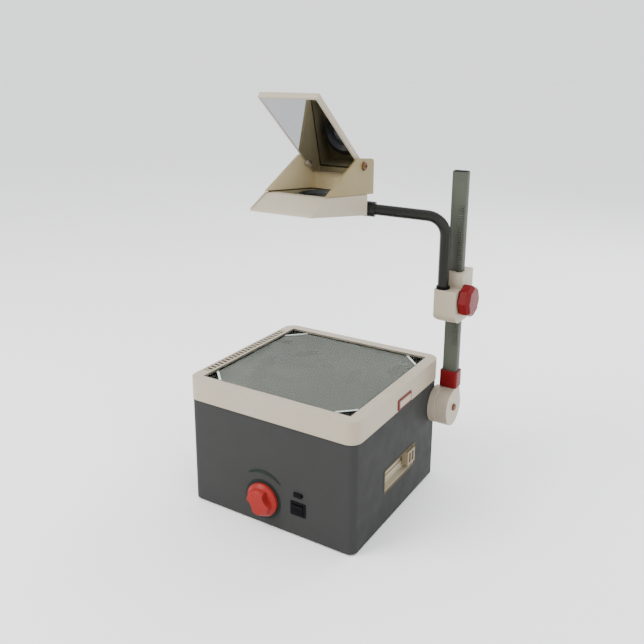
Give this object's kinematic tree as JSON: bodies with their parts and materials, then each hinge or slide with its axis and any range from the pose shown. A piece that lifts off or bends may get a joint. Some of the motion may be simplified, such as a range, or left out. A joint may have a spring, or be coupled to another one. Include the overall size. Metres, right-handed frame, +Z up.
{
  "type": "overhead projector",
  "caption": "Lamp box with a square glass stage, a folding side column with a focusing carriage, and an arm holding a lens and tilting mirror above the stage.",
  "frame": {"origin": "on the surface the feet stand on, under the centre of the bounding box", "axes": "+Z up, -Y is the control side that the mirror projects over, +X is the column's side"},
  "size_m": [0.418, 0.385, 0.7425],
  "materials": {
    "housing_grey": "satin textured paint",
    "steel": "plated",
    "rubber": "matt",
    "black_plastic": "fine grain",
    "black_metal": "black anodised",
    "cream_plastic": "fine grain",
    "tan_plastic": "fine grain",
    "red_plastic": "satin gloss",
    "clear_glass": "polished",
    "stage_lens": "finely grooved, grey green",
    "column_green": "satin grey-green paint",
    "tube_grey": "satin dark grey",
    "brown_metal": "oxidised brown",
    "mirror_silver": "front silvered",
    "ceramic_white": "unglazed",
    "copper_winding": "varnished winding"
  },
  "bodies": {
    "base": {"housing": "housing_grey", "base_plate": "steel", "foot_front_left": "rubber", "foot_rear_left": "rubber", "foot_front_right": "rubber", "foot_rear_right": "rubber", "inlet_socket": "black_plastic", "changer_tray": "tan_plastic", "optics_bridge": "steel", "heat_glass": "clear_glass", "condenser_ring": "black_metal", "condenser_lens": "clear_glass", "lamp_rail": "steel", "fan_frame": "black_plastic", "transformer_core": "steel", "transformer_coil": "copper_winding", "switch_bezel": "black_plastic", "hinge_leaf_housing": "steel", "hinge_pin": "steel", "pivot_boss": "cream_plastic", "pivot_screw": "brown_metal"},
    "lid": {"stage_frame": "cream_plastic", "stage_glass": "clear_glass", "stage_mask": "black_plastic", "fresnel_lens": "stage_lens", "rail_vent": "cream_plastic", "hinge_leaf_lid": "steel", "latch_bezel": "red_plastic"},
    "latch": {"latch_button": "cream_plastic"},
    "knob": {"adjusting_knob": "red_plastic"},
    "rocker": {"rocker_switch": "black_plastic"},
    "mode": {"mode_slider": "black_plastic"},
    "changer": {"lamp_carrier": "ceramic_white", "changer_lever": "tan_plastic", "lamp_1": "clear_glass", "lamp_2": "clear_glass", "reflector_1": "mirror_silver", "reflector_2": "mirror_silver"},
    "fan_wheel": {"fan_impeller": "black_plastic"},
    "column": {"column_knuckle": "cream_plastic", "column": "column_green", "rack": "steel"},
    "collar": {"lock_collar": "red_plastic"},
    "carriage": {"carriage": "cream_plastic"},
    "focus": {"focus_pinion": "steel", "focus_knob": "red_plastic"},
    "arm": {"arm_tube": "tube_grey", "arm_bush": "black_plastic", "head_bracket": "tube_grey", "head_tray": "cream_plastic", "head_frame": "tan_plastic", "lens_barrel": "black_metal", "lens_upper": "clear_glass", "lens_lower": "clear_glass", "mirror_screw_left": "brown_metal", "mirror_screw_right": "brown_metal"},
    "mirror": {"mirror_frame": "cream_plastic", "mirror_glass": "mirror_silver"}
  },
  "joints": [
    {"name": "lid_hinge", "type": "hinge", "parent": "base", "child": "lid", "pos_m": [-0.205, -0.009, 0.204], "axis": [0, -1, 0], "range_deg": [0, 30]},
    {"name": "latch_press", "type": "slide", "parent": "lid", "child": "latch", "axis": [-1, 0, 0], "range_m": [0, 0.0025], "stiffness_N_per_m": 500},
    {"name": "knob_turn", "type": "hinge", "parent": "base", "child": "knob", "pos_m": [-0.0425, -0.173, 0.051], "axis": [0, -1, 0], "range_deg": [-135, 135]},
    {"name": "rocker_rock", "type": "hinge", "parent": "base", "child": "rocker", "pos_m": [0.0305, -0.169, 0.0555], "axis": [1, 0, 0], "range_deg": [-7, 7]},
    {"name": "mode_slide", "type": "slide", "parent": "base", "child": "mode", "axis": [1, 0, 0], "range_m": [-0.0035, 0.0035]},
    {"name": "changer_slide", "type": "slide", "parent": "base", "child": "changer", "axis": [0, -1, 0], "range_m": [0, 0.075]},
    {"name": "fan_spin", "type": "hinge", "parent": "base", "child": "fan_wheel", "pos_m": [-0.1865, -0.069, 0.072], "axis": [1, 0, 0], "continuous": true},
    {"name": "column_fold", "type": "hinge", "parent": "base", "child": "column", "pos_m": [0.1547, 0.146, 0.153], "axis": [-1, 0, 0], "range_deg": [0, 90]},
    {"name": "collar_slide", "type": "slide", "parent": "column", "child": "collar", "axis": [0, 0, 1], "range_m": [0, 0.02]},
    {"name": "focus_slide", "type": "slide", "parent": "column", "child": "carriage", "axis": [0, 0, 1], "range_m": [-0.08, 0.15]},
    {"name": "focus_knob_turn", "type": "hinge", "parent": "carriage", "child": "focus", "pos_m": [0.1855, 0.1388, 0.372], "axis": [-1, 0, 0], "range_deg": [-512, 958]},
    {"name": "arm_swivel", "type": "hinge", "parent": "carriage", "child": "arm", "pos_m": [0.1545, 0.121, 0.393], "axis": [0, 0, 1], "range_deg": [-60, 90]},
    {"name": "mirror_tilt", "type": "hinge", "parent": "arm", "child": "mirror", "pos_m": [-0.0315, 0.041, 0.615], "axis": [1, 0, 0], "range_deg": [-20, 55]}
  ],
  "couplings": [
    {"joint": "focus_knob_turn", "follows": "focus_slide", "rad_per_m": 111.11}
  ]
}
